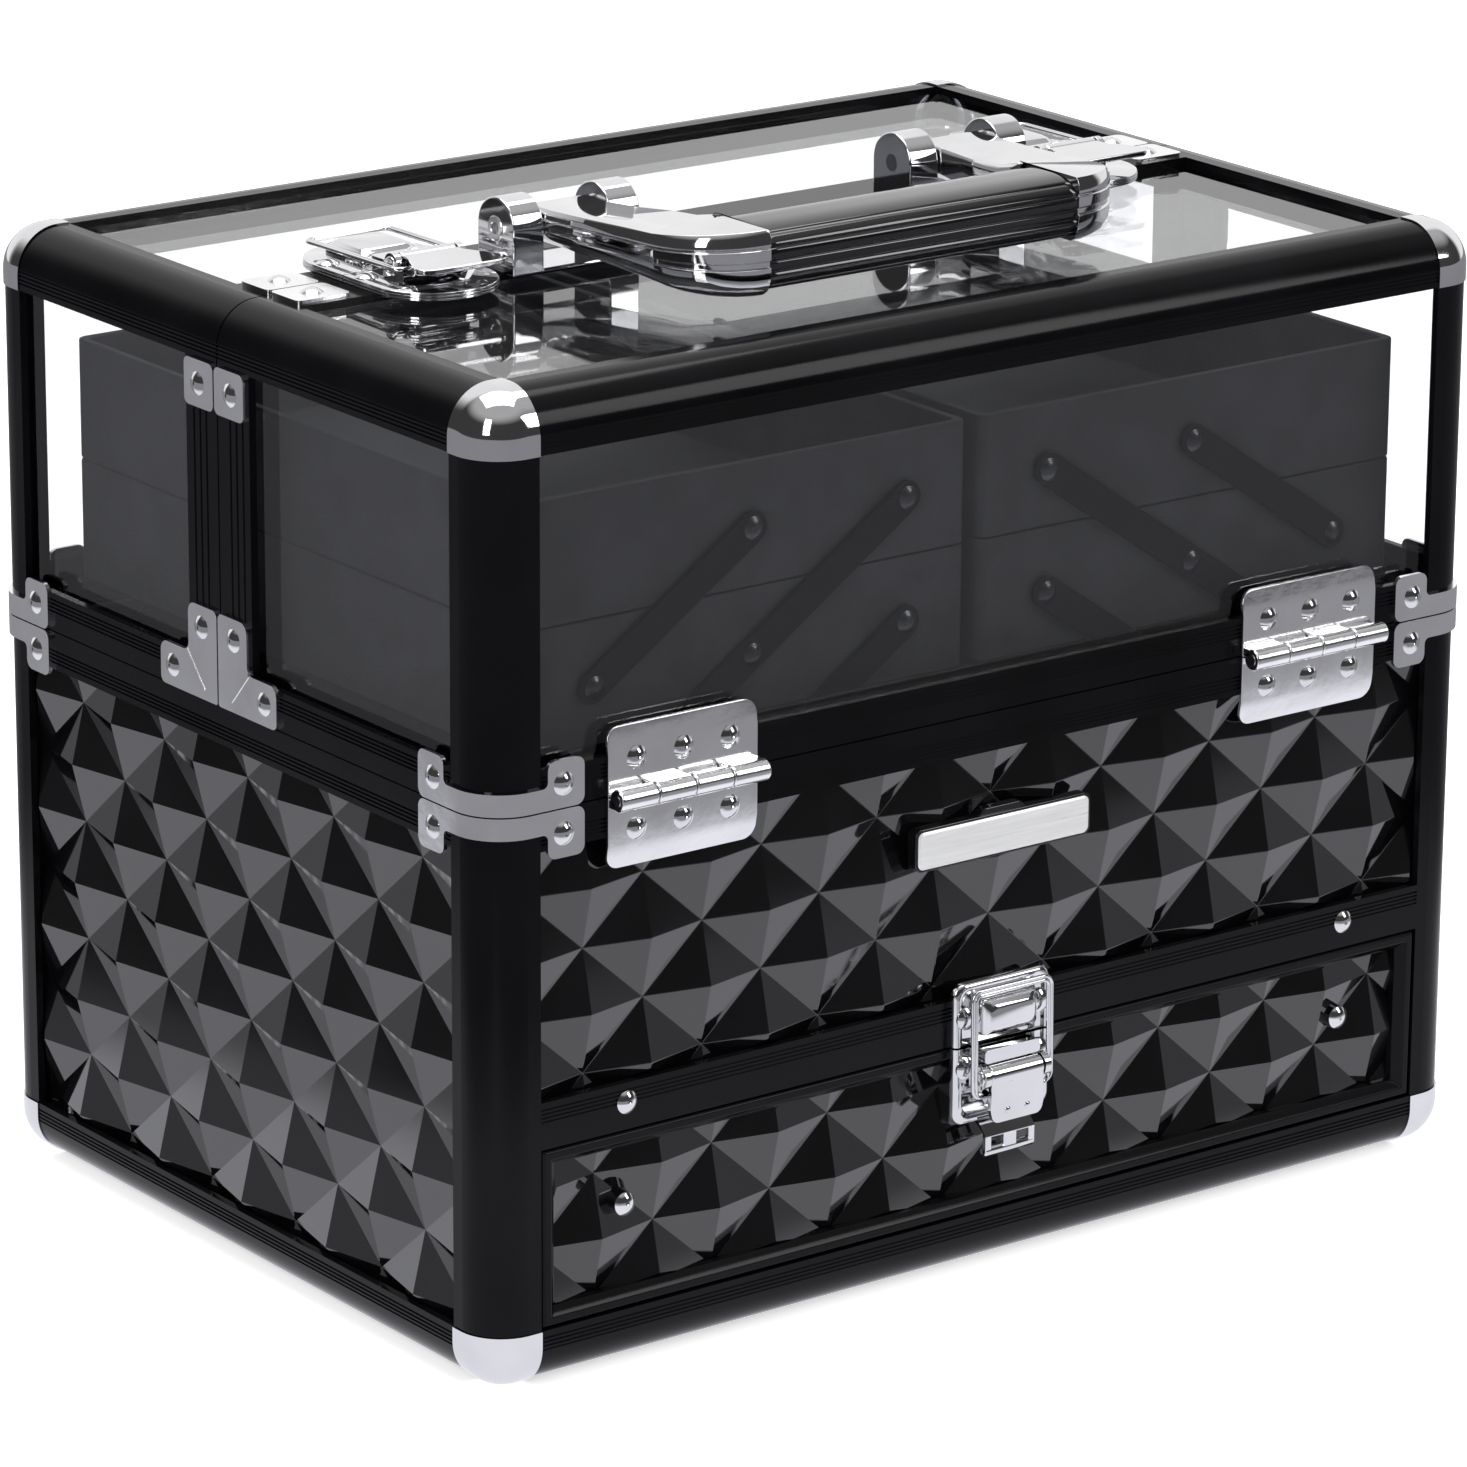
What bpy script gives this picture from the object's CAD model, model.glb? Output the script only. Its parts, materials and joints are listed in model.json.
import json
import math
import bpy
import bmesh
from mathutils import Matrix, Vector


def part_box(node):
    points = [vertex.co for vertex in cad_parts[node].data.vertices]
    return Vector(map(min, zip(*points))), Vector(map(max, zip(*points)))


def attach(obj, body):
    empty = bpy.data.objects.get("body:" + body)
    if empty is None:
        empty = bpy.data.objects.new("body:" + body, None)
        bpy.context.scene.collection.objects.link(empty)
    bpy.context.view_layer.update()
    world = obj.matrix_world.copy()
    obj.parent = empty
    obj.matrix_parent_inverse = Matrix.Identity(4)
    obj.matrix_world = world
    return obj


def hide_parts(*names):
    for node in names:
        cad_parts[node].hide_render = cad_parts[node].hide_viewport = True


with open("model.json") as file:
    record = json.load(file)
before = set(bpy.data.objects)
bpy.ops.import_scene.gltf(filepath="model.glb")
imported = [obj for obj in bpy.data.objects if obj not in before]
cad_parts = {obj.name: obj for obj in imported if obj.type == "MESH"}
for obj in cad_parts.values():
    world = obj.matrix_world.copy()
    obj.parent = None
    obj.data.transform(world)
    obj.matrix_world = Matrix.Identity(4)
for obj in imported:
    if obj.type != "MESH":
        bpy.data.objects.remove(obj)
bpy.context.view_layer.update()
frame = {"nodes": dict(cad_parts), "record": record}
NODES = frame["nodes"]
BODY = {node: body for body, nodes in frame["record"]["behaviour"]["bodies"].items() for node in nodes}
MM = 0.001


def span(node):
    """Low and high corner of a CAD node, in millimetres."""
    low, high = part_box(node)
    return low / MM, high / MM


# Sizes read from the frame, in millimetres
HALF_L = span("base_frame")[1].x
HALF_W = span("base_frame")[1].y
CASE_H = span("front_lid_frame")[1].z
BASE_TOP = span("base_frame")[1].z
LID_BOTTOM = span("front_lid_frame")[0].z
LID_LINE = (BASE_TOP + LID_BOTTOM) / 2
DRAWER_TOP = span("drawer_divider_rail")[0].z
DIVIDER_TOP = span("drawer_divider_rail")[1].z
FRONT_SEAM = span("front_lid_seam_bars")[1].y
REAR_SEAM = span("rear_lid_seam_bars")[0].y

# Sizes of the rails, panels, plates and rivets, in millimetres
RAIL_W = 16.5
CORNER_R = 12.5
RIM_H = 11
BOARD_SET = 6.5
DIAMOND_W = 38.5
END_DIAMOND_W = 41.5
DIAMOND_H = 34.5
DIAMOND_RISE = 4.2
DIAMOND_SET = 1
# Where a node of the diamonds' valleys lies on each face: (u, v)
FRONT_NODE = (0, 100.5)
END_NODE = (0, 105)
DRAWER_NODE = (3.5, 37.5)
PLATE_T = 1.2
RIVET_R = 3.2
OPEN_X = HALF_L - RAIL_W
OPEN_Y = HALF_W - RAIL_W
RIM_LOW = LID_LINE - RIM_H
# Pivots of the arms: distances from the middle of the case, and heights
PIVOT_X = (24, 75, 126)
PIVOT_Z = (150.7, 185.1, 219.5)
ARM_W = 9
# Places of the latches and the handle
SEAM_MIDDLE = (FRONT_SEAM + REAR_SEAM) / 2
LATCH_END = 58
LID_LATCH_W = 36
HANDLE_GAP = 14.5
HANDLE_AHEAD = 13.5
HANDLE_RISE = 12
HANDLE_ROOT = 21
HANDLE_SIDE = 25.5
EAR_GAP = 0.3
LATCH_X = HALF_L - LATCH_END
HANDLE_X = LATCH_X - LID_LATCH_W / 2 - HANDLE_GAP
HANDLE_Y = SEAM_MIDDLE - HANDLE_AHEAD
GRIP_HALF = HANDLE_X - HANDLE_SIDE
EAR_OUT = HANDLE_X + EAR_GAP
EAR_IN = HANDLE_X - HANDLE_ROOT - EAR_GAP

# Frames of the case's faces: u runs along the face, v up (or back on the
# top), and w out of it
FRONT = Matrix(((1, 0, 0, 0), (0, 0, -1, -HALF_W), (0, 1, 0, 0), (0, 0, 0, 1)))
BACK = Matrix(((-1, 0, 0, 0), (0, 0, 1, HALF_W), (0, 1, 0, 0), (0, 0, 0, 1)))
LEFT = Matrix(((0, 0, -1, -HALF_L), (-1, 0, 0, 0), (0, 1, 0, 0), (0, 0, 0, 1)))
RIGHT = Matrix(((0, 0, 1, HALF_L), (1, 0, 0, 0), (0, 1, 0, 0), (0, 0, 0, 1)))
TOP = Matrix.Translation((0, 0, CASE_H))
MIRROR_X = Matrix.Diagonal((-1, 1, 1, 1))
MIRROR_Y = Matrix.Diagonal((1, -1, 1, 1))
BOTH_ENDS = (Matrix(), MIRROR_X)


# ---- materials ----
# Depth of the surfaces' grain, in metres
BUMP_DEPTH = 0.0004


def new_material(name):
    mat = bpy.data.materials.new(name)
    mat.use_nodes = True
    tree = mat.node_tree
    return mat, tree, tree.nodes["Principled BSDF"]


def set_inputs(node, values):
    for name, value in values.items():
        node.inputs[name].default_value = value


def noise(tree, scale, detail=3.0, stretch=(1, 1, 1)):
    coord = tree.nodes.new("ShaderNodeTexCoord")
    mapping = tree.nodes.new("ShaderNodeMapping")
    set_inputs(mapping, {"Scale": stretch})
    tex = tree.nodes.new("ShaderNodeTexNoise")
    set_inputs(tex, {"Scale": scale, "Detail": detail})
    tree.links.new(coord.outputs["Object"], mapping.inputs["Vector"])
    tree.links.new(mapping.outputs["Vector"], tex.inputs["Vector"])
    return tex.outputs["Fac"]


def remap(tree, value, low, high):
    ramp = tree.nodes.new("ShaderNodeMapRange")
    set_inputs(ramp, {"To Min": low, "To Max": high})
    tree.links.new(value, ramp.inputs["Value"])
    return ramp.outputs["Result"]


def tint(tree, value, dark, light):
    ramp = tree.nodes.new("ShaderNodeValToRGB")
    for stop, position, colour in zip(ramp.color_ramp.elements, (0.3, 0.7), (dark, light)):
        stop.position = position
        stop.color = (*colour, 1)
    tree.links.new(value, ramp.inputs["Fac"])
    return ramp.outputs["Color"]


def bump(tree, value, strength):
    node = tree.nodes.new("ShaderNodeBump")
    set_inputs(node, {"Strength": strength, "Distance": BUMP_DEPTH})
    tree.links.new(value, node.inputs["Height"])
    return node.outputs["Normal"]


def surface(name, dark, light, rough, metal=0.0, specular=0.5, scale=60, stretch=(1, 1, 1),
            grain=0.0, grain_scale=1000, coat=0.0):
    """A surface whose colour and roughness vary a little, with an optional fine grain."""
    mat, tree, shader = new_material(name)
    base = noise(tree, scale, 3.0, stretch)
    tree.links.new(tint(tree, base, dark, light), shader.inputs["Base Color"])
    tree.links.new(remap(tree, base, *rough), shader.inputs["Roughness"])
    set_inputs(shader, {"Metallic": metal, "Specular IOR Level": specular, "Coat Weight": coat,
                        "Coat Roughness": 0.05})
    if grain:
        fine = noise(tree, grain_scale, 4.0, stretch)
        tree.links.new(bump(tree, fine, grain), shader.inputs["Normal"])
    return mat


def mix_surface(tree, factor, one, two):
    """Show shader one where the factor is 0 and shader two where it is 1."""
    mix = tree.nodes.new("ShaderNodeMixShader")
    for socket, value in zip(mix.inputs, (factor, one, two)):
        tree.links.new(value, socket)
    tree.links.new(mix.outputs["Shader"], tree.nodes["Material Output"].inputs["Surface"])


def clear_acrylic():
    """A thin clear sheet: it lets light straight through and mirrors more at a slant."""
    mat, tree, shader = new_material("clear_acrylic")
    smear = noise(tree, 14, 2.0)
    gloss = tree.nodes.new("ShaderNodeBsdfGlossy")
    set_inputs(gloss, {"Color": (1, 1, 1, 1)})
    tree.links.new(remap(tree, smear, 0.0, 0.05), gloss.inputs["Roughness"])
    through = tree.nodes.new("ShaderNodeBsdfTransparent")
    set_inputs(through, {"Color": (0.96, 0.965, 0.975, 1)})
    # The light leaves the sheet unbent, so the back faces mirror as the front ones do
    index = 1.49
    facing = tree.nodes.new("ShaderNodeNewGeometry")
    fresnel = tree.nodes.new("ShaderNodeFresnel")
    tree.links.new(remap(tree, facing.outputs["Backfacing"], index, 1 / index), fresnel.inputs["IOR"])
    mix_surface(tree, fresnel.outputs["Fac"], through.outputs["BSDF"], gloss.outputs["BSDF"])
    tree.nodes.remove(shader)
    return mat


RAIL = surface("black_rail", (0.002, 0.002, 0.0025), (0.004, 0.004, 0.005), (0.09, 0.17), specular=0.13,
               scale=25, grain=0.02, grain_scale=900)
CHROME = surface("chrome", (0.70, 0.70, 0.715), (0.80, 0.80, 0.815), (0.03, 0.09), metal=1.0, scale=40,
                 grain=0.015, grain_scale=350)
PLATED = surface("plated_steel", (0.86, 0.86, 0.87), (0.96, 0.96, 0.97), (0.1, 0.22), metal=1.0, scale=60,
                 grain=0.3, grain_scale=110)
STEEL = surface("nickel", (0.5, 0.5, 0.51), (0.62, 0.62, 0.63), (0.18, 0.3), metal=1.0, scale=80)
GUNMETAL = surface("gunmetal", (0.06, 0.06, 0.065), (0.1, 0.1, 0.105), (0.22, 0.32), metal=1.0, scale=80)
PANEL = surface("black_panel", (0.002, 0.002, 0.0025), (0.004, 0.004, 0.005), (0.03, 0.08), specular=1.0,
                scale=30, coat=0.2)
BOARD = surface("lined_board", (0.012, 0.012, 0.013), (0.02, 0.02, 0.022), (0.75, 0.9), specular=0.2,
                scale=120, grain=0.2, grain_scale=1500)
TRAY = surface("tray_lining", (0.017, 0.017, 0.019), (0.028, 0.028, 0.031), (0.7, 0.85), specular=0.25,
               scale=90, grain=0.3, grain_scale=1300)
ARM = surface("black_arm", (0.0015, 0.0015, 0.002), (0.003, 0.003, 0.0035), (0.3, 0.42), specular=0.15,
              scale=60, grain=0.03, grain_scale=1200)
BRUSHED = surface("brushed_plate", (0.8, 0.8, 0.81), (0.92, 0.92, 0.93), (0.22, 0.4), metal=0.35, scale=40,
                  stretch=(1, 1, 30), grain=0.06, grain_scale=300)
GRIP = surface("gloss_grip", (0.003, 0.003, 0.004), (0.006, 0.006, 0.007), (0.04, 0.09), specular=0.6,
               scale=40, coat=0.3)
CLEAR = clear_acrylic()

LOOKS = {
    "black_rails": RAIL, "chrome": CHROME, "steel": STEEL, "boards": BOARD, "black_panels": PANEL,
    "clear_panes": CLEAR, "plate": BRUSHED, "grip": GRIP, "trays": TRAY, "black_arms": ARM,
}


def dress_frame():
    """Give every CAD node the material of its slot."""
    for part in frame["record"]["subparts"]:
        mesh = NODES[part["node"]].data
        mesh.materials.clear()
        mesh.materials.append(LOOKS[part["material_slot"]])


dress_frame()


# ---- mesh helpers ----
def heading(angle):
    return Vector((math.cos(angle), math.sin(angle)))


def arc_between(centre, start, end, steps):
    """Points from start to end along the short way round centre."""
    first = math.atan2(start.y - centre.y, start.x - centre.x)
    last = math.atan2(end.y - centre.y, end.x - centre.x)
    turn = (last - first + math.pi) % (2 * math.pi) - math.pi
    radius = (start - centre).length
    return [centre + radius * heading(first + turn * k / steps) for k in range(steps + 1)]


def rounded(points, radius=0.0, steps=6):
    """A closed outline with its corners rounded. A point is (u, v), or (u, v, its own radius)."""
    outline = []
    for i, point in enumerate(points):
        r = point[2] if len(point) > 2 else radius
        here = Vector(point[:2])
        if r <= 0:
            outline.append(here)
            continue
        before = (Vector(points[i - 1][:2]) - here).normalized()
        after = (Vector(points[(i + 1) % len(points)][:2]) - here).normalized()
        half = before.angle(after) / 2
        centre = here + (before + after).normalized() * (r / math.sin(half))
        reach = r / math.tan(half)
        outline += arc_between(centre, here + before * reach, here + after * reach, steps)
    return outline


def rectangle(u0, v0, u1, v1, radius=0.0, steps=6):
    return rounded([(u0, v0), (u1, v0), (u1, v1), (u0, v1)], radius, steps)


def disc(radius, steps):
    return [radius * heading(2 * math.pi * k / steps) for k in range(steps)]


def ring_of(bm, outline, w, place):
    return [bm.verts.new(place @ Vector((p[0], p[1], w))) for p in outline]


def bridge(bm, one, other):
    n = len(one)
    for i in range(n):
        bm.faces.new((one[i], one[(i + 1) % n], other[(i + 1) % n], other[i]))


def bridge_all(bm, rings):
    for one, other in zip(rings, rings[1:]):
        bridge(bm, one, other)


def add_solid(bm, rings):
    """A closed solid through rings that all have the same number of points."""
    bm.faces.new(rings[0])
    bm.faces.new(rings[-1])
    bridge_all(bm, rings)


def add_layers(bm, layers, place=Matrix()):
    """A closed solid through (outline, w) layers."""
    add_solid(bm, [ring_of(bm, outline, w, place) for outline, w in layers])


def add_prism(bm, outline, low, high, place=Matrix()):
    add_layers(bm, [(outline, low), (outline, high)], place)


def pour(part, bm):
    """Add a finished mesh to another one."""
    mesh = bpy.data.meshes.new("part")
    part.to_mesh(mesh)
    part.free()
    bm.from_mesh(mesh)
    bpy.data.meshes.remove(mesh)


def add_tray(bm, outer, inner, low, floor, high):
    """A rounded tray: outer and inner outlines from its underside to its rim."""
    under, rim = ring_of(bm, outer, low, Matrix()), ring_of(bm, outer, high, Matrix())
    lip, bottom = ring_of(bm, inner, high, Matrix()), ring_of(bm, inner, floor, Matrix())
    bm.faces.new(under)
    bm.faces.new(bottom)
    bridge_all(bm, [under, rim, lip, bottom])


def add_lathe(bm, profile, place=Matrix(), steps=32):
    """A solid of revolution through (radius, w) points, from pole to pole."""
    rings = []
    for radius, w in profile:
        if radius < 1e-6:
            rings.append([bm.verts.new(place @ Vector((0, 0, w)))])
        else:
            rings.append(ring_of(bm, disc(radius, steps), w, place))
    for one, other in zip(rings, rings[1:]):
        if len(one) == 1 or len(other) == 1:
            tip, loop = (one[0], other) if len(one) == 1 else (other[0], one)
            for i in range(steps):
                bm.faces.new((tip, loop[i], loop[(i + 1) % steps]))
        else:
            bridge(bm, one, other)


def add_dome(bm, place, radius=RIVET_R, height=1.4, rim=0.25):
    """A rivet's head: a low dome on a short straight rim, sunk a little into what carries it."""
    sink = 0.4
    ball = (radius ** 2 + (height - rim) ** 2) / (2 * (height - rim))
    angle = math.asin(radius / ball)
    curve = [(ball * math.sin(angle * k / 6), height - ball + ball * math.cos(angle * k / 6))
             for k in range(6, -1, -1)]
    add_lathe(bm, [(0, -sink), (radius, -sink)] + curve, place, 28)


def add_rod(bm, radius, length, place, chamfer=0.3, steps=28):
    """A rod along w, centred on the origin, with chamfered ends."""
    half = length / 2
    add_lathe(bm, [(0, -half), (radius - chamfer, -half), (radius, chamfer - half), (radius, half - chamfer),
                   (radius - chamfer, half), (0, half)], place, steps)


# A rod along u, and an outline in (v, w) carried along u
ALONG_U = Matrix.Rotation(math.pi / 2, 4, "Y")
ACROSS = Matrix(((0, 0, 1, 0), (1, 0, 0, 0), (0, 1, 0, 0), (0, 0, 0, 1)))


def new_object(name, data):
    obj = bpy.data.objects.new(name, data)
    bpy.context.scene.collection.objects.link(obj)
    return obj


def piece(name, bm, material, node, slot=None, bevel=0.0, segments=2, sharp=32, body=None, replaces=()):
    """Turn a bmesh in millimetres into a piece that rides with a CAD node's body."""
    bmesh.ops.scale(bm, vec=(MM, MM, MM), verts=bm.verts)
    bmesh.ops.recalc_face_normals(bm, faces=bm.faces)
    mesh = bpy.data.meshes.new(name)
    bm.to_mesh(mesh)
    bm.free()
    for face in mesh.polygons:
        face.use_smooth = True
    if not bevel:
        mesh.set_sharp_from_angle(angle=math.radians(sharp))
    mesh.materials.append(material)
    obj = new_object(name, mesh)
    if bevel:
        soften = obj.modifiers.new("soften", "BEVEL")
        soften.width = bevel * MM
        soften.segments = segments
        soften.limit_method = "ANGLE"
        soften.angle_limit = math.radians(sharp)
        soften.harden_normals = True
    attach(obj, body or BODY[node])
    if replaces:
        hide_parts(*replaces)


def stand_in(name, bm, material, node, **settings):
    """A piece that is shown in place of its CAD node."""
    piece(name, bm, material, node, replaces=[node], **settings)


# ---- diamond panels ----
def cut(bm, point, normal):
    """Cut away what lies beyond a plane, and close the cut."""
    made = bmesh.ops.bisect_plane(bm, geom=bm.verts[:] + bm.edges[:] + bm.faces[:], dist=1e-5, plane_co=point,
                                  plane_no=normal, clear_outer=True)
    edges = [e for e in made["geom_cut"] if isinstance(e, bmesh.types.BMEdge) and len(e.link_faces) == 1]
    bmesh.ops.edgeloop_fill(bm, edges=edges)


def add_diamonds(bm, width, height, place, wide, node):
    """A moulded sheet of diamonds, pressed down along the rails. Four valleys meet at node."""
    lip = 2.0
    edge_w = -3.0
    half_u, half_v = wide / 2, DIAMOND_H / 2
    i0, i1 = (math.floor((side * (width / 2 + lip) - node[0]) / half_u) + side for side in (-1, 1))
    j0, j1 = (math.floor((side * (height / 2 + lip) - node[1]) / half_v) + side for side in (-1, 1))
    low = -BOARD_SET - 1
    valley = -DIAMOND_SET - DIAMOND_RISE
    sheet = bmesh.new()
    grid = {}
    for i in range(i0, i1 + 2):
        for j in range(j0, j1 + 2):
            w = valley if (i + j) % 2 == 0 else -DIAMOND_SET
            grid[i, j] = sheet.verts.new((node[0] + i * half_u, node[1] + j * half_v, w))
    for i in range(i0, i1 + 1):
        for j in range(j0, j1 + 1):
            a, b, c, d = grid[i, j], grid[i + 1, j], grid[i + 1, j + 1], grid[i, j + 1]
            for corners in (((a, b, c), (a, c, d)) if (i + j) % 2 == 0 else ((a, b, d), (b, c, d))):
                sheet.faces.new(corners)
    rim = [e for e in sheet.edges if len(e.link_faces) == 1]
    walls = bmesh.ops.extrude_edge_only(sheet, edges=rim)["geom"]
    for v in walls:
        if isinstance(v, bmesh.types.BMVert):
            v.co.z = low
    bmesh.ops.edgeloop_fill(sheet, edges=[e for e in sheet.edges if len(e.link_faces) == 1])
    bmesh.ops.recalc_face_normals(sheet, faces=sheet.faces)
    for side in (-1, 1):
        for size, axis in ((width, Vector((1, 0, 0))), (height, Vector((0, 1, 0)))):
            cut(sheet, axis * side * (size / 2 + lip), axis * side)
            slant = (axis * side + Vector((0, 0, 1))).normalized()
            cut(sheet, axis * side * size / 2 + Vector((0, 0, edge_w)), slant)
    sheet.transform(place)
    pour(sheet, bm)


def fill_opening(bm, face, half, v0, v1, wide, node):
    """Diamonds over an opening from v0 to v1, with their node given on the face."""
    v = (v0 + v1) / 2
    add_diamonds(bm, 2 * half, v1 - v0, face @ Matrix.Translation((0, v, 0)), wide, (node[0], node[1] - v))


def panels():
    for name, node, faces, half, low, wide, valleys in (
            ("front_diamonds", "front_panel", (FRONT,), OPEN_X, DIVIDER_TOP, DIAMOND_W, FRONT_NODE),
            ("end_diamonds", "end_panels", (LEFT, RIGHT), OPEN_Y, RAIL_W, END_DIAMOND_W, END_NODE),
            ("back_diamonds", "back_panel", (BACK,), OPEN_X, RAIL_W, DIAMOND_W, FRONT_NODE)):
        bm = bmesh.new()
        for face in faces:
            fill_opening(bm, face, half, low, RIM_LOW, wide, valleys)
        stand_in(name, bm, PANEL, node, bevel=0.5, sharp=10)


# ---- drawer ----
def drawer_front():
    low, high = span("drawer_front_frame")
    border = 5.0
    # Section of the frame: inset from its edge, and height out of the face
    section = [(0, -2.2), (0, -0.7), (0.7, 0), (2.6, 0), (3.2, -0.4), (border, -2.4), (border, -4.5)]
    bm = bmesh.new()
    rings = [ring_of(bm, rectangle(low.x + inset, low.z + inset, high.x - inset, high.z - inset), w, FRONT)
             for inset, w in section]
    bridge_all(bm, rings + rings[:1])
    stand_in("drawer_mitred_frame", bm, RAIL, "drawer_front_frame", bevel=0.25, sharp=15)
    bm = bmesh.new()
    fill_opening(bm, FRONT, high.x - border, low.z + border, high.z - border, DIAMOND_W, DRAWER_NODE)
    # Flat seats for the latch's plate above its tab, and for the two rivets
    tab_h = 9
    latch_low, latch_high = span("drawer_latch_base")
    seat = rectangle(latch_low.x, latch_low.z + tab_h, latch_high.x, high.z - border, 1.5)
    add_prism(bm, seat, -BOARD_SET, -0.05, FRONT)
    rivet_low, rivet_high = span("drawer_rivets")
    rivet_x, rivet_z = rivet_high.x - RIVET_R, (rivet_low.z + rivet_high.z) / 2
    for side in (-1, 1):
        add_lathe(bm, [(0, -5), (3.6, -5), (3.3, -DIAMOND_SET), (0, -DIAMOND_SET)],
                  FRONT @ Matrix.Translation((side * rivet_x, rivet_z, 0)))
    stand_in("drawer_diamonds", bm, PANEL, "drawer_front_panel", bevel=0.5, sharp=10)


# ---- nameplate ----
def nameplate():
    low, high = span("nameplate")
    face = -HALF_W - low.y
    sunk, border, slant = -2.5, 0.8, 0.6
    bm = bmesh.new()
    back = rectangle(low.x - border, low.z - border, high.x + border, high.z + border, 2.4)
    add_prism(bm, back, sunk, face - 0.5, FRONT)
    hump = rounded([(-9, high.z, 0), (9, high.z, 0), (6, high.z + 2.6, 1.5), (-6, high.z + 2.6, 1.5)])
    add_prism(bm, hump, sunk, face - 1.0, FRONT)
    piece("nameplate_backing", bm, GRIP, "nameplate", slot="grip", bevel=0.35, segments=3)
    bm = bmesh.new()
    outer = rectangle(low.x, low.z, high.x, high.z, 1.8)
    inner = rectangle(low.x + slant, low.z + slant, high.x - slant, high.z - slant, 1.2)
    add_layers(bm, [(outer, face - 0.6), (outer, face - 0.35), (inner, face)], FRONT)
    stand_in("nameplate_face", bm, BRUSHED, "nameplate", sharp=25)


# ---- hinges ----
HINGE_END = 61
HINGE_W = 48
HINGE_UP = 18.5
HINGE_DOWN = 20
HINGE_OUT = 4.6
BARREL_R = 3.08
HINGE_GAP = 0.2


def add_hinge_leaf(bm, place, length, first):
    """A leaf with two of the four knuckles. v runs away from the pin, and the far strip slopes back."""
    half = HINGE_W / 2
    crease = length - 7.0
    slope = 0.17
    leaf = bmesh.new()
    plate = [(-half, HINGE_GAP, 0), (half, HINGE_GAP, 0), (half, length, 4), (-half, length, 4)]
    add_prism(leaf, rounded(plate), 0, PLATE_T)
    bmesh.ops.bisect_plane(leaf, geom=leaf.verts[:] + leaf.edges[:] + leaf.faces[:], plane_co=(0, crease, 0),
                           plane_no=(0, 1, 0))
    for v in leaf.verts:
        v.co.z -= max(0.0, v.co.y - crease) * slope
    knuckle = HINGE_W / 4
    gap = 0.3
    for i in (first, first + 2):
        centre = (i + 0.5) * knuckle - half
        add_rod(leaf, BARREL_R, knuckle - gap, Matrix.Translation((centre, 0, HINGE_OUT)) @ ALONG_U, 0.35)
        web = rectangle(centre - knuckle / 2 + gap / 2, 0.4, centre + knuckle / 2 - gap / 2, BARREL_R - 0.3)
        add_prism(leaf, web, PLATE_T - 0.2, HINGE_OUT - 0.8)
    leaf.transform(place)
    pour(leaf, bm)


def hinge_places(face):
    middle = Matrix.Translation((HALF_L - HINGE_END, 0, 0))
    for mirror in BOTH_ENDS:
        yield face @ Matrix.Translation((0, LID_LINE, 0)) @ mirror @ middle


def hinges():
    for name, node, faces, flip, length, first in (
            ("front_upper_leaves", "front_hinge_leaves", (FRONT,), Matrix(), HINGE_UP, 0),
            ("rear_upper_leaves", "rear_hinge_leaves", (BACK,), Matrix(), HINGE_UP, 0),
            ("lower_leaves", "lower_hinge_leaves", (FRONT, BACK), MIRROR_Y, HINGE_DOWN, 1)):
        bm = bmesh.new()
        for face in faces:
            for place in hinge_places(face):
                add_hinge_leaf(bm, place @ flip, length, first)
        stand_in(name, bm, PLATED, node, bevel=0.3)


# ---- caps and brackets ----
BRACKET_W = 13
STRAP_H = 6
SEAM_BRACKET_L = 28
SEAM_BRACKET_H = 26
SEAM_PLATE_W = 14
TOP_PLATE_H = 13
TOP_PLATE_L = 17
# Name, seam and direction along Y of each half of the lid
LID_HALVES = (("front", FRONT_SEAM, -1), ("rear", REAR_SEAM, 1))


def add_cap(bm, corner, inward, proud, flat):
    """A ball corner over the rails: a rounded cube's corner, with its open edges turned in."""
    shell = bmesh.new()
    steps = 14
    sides = {}
    for axis in range(3):
        for i in range(steps + 1):
            for j in range(steps + 1):
                flat_point = [RAIL_W * i / steps, RAIL_W * j / steps]
                flat_point.insert(axis, 0.0)
                core = Vector([max(c, CORNER_R) for c in flat_point])
                point = core + (Vector(flat_point) - core).normalized() * (CORNER_R + proud)
                sides[axis, i, j] = shell.verts.new(point)
    for axis in range(3):
        for i in range(steps):
            for j in range(steps):
                shell.faces.new([sides[axis, i, j], sides[axis, i + 1, j], sides[axis, i + 1, j + 1],
                                 sides[axis, i, j + 1]])
    bmesh.ops.remove_doubles(shell, verts=shell.verts, dist=1e-3)
    rim = [e for e in shell.edges if len(e.link_faces) == 1]
    inner = bmesh.ops.extrude_edge_only(shell, edges=rim)["geom"]
    centre = Vector((RAIL_W, RAIL_W, RAIL_W))
    for v in inner:
        if isinstance(v, bmesh.types.BMVert):
            away = [k for k in range(3) if v.co[k] < RAIL_W - 1e-3]
            step = Vector([centre[k] - v.co[k] if k in away else 0.0 for k in range(3)])
            v.co += step.normalized() * (proud + 0.8)
    for v in shell.verts:
        v.co = Vector([corner[k] + inward[k] * v.co[k] for k in range(3)])
        v.co.z = max(v.co.z, flat)
    pour(shell, bm)


def caps():
    for name, ys, z, node in (("base_caps", (-1, 1), 0.0, "base_corner_caps"),
                              ("front_lid_caps", (-1,), CASE_H, "front_lid_corner_caps"),
                              ("rear_lid_caps", (1,), CASE_H, "rear_lid_corner_caps")):
        bm = bmesh.new()
        for x in (-1, 1):
            for y in ys:
                inward = (-x, -y, 1 if z == 0 else -1)
                add_cap(bm, (x * HALF_L, y * HALF_W, z), inward, proud=0.45, flat=0.02)
        stand_in(name, bm, CHROME, node, sharp=40)


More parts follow.
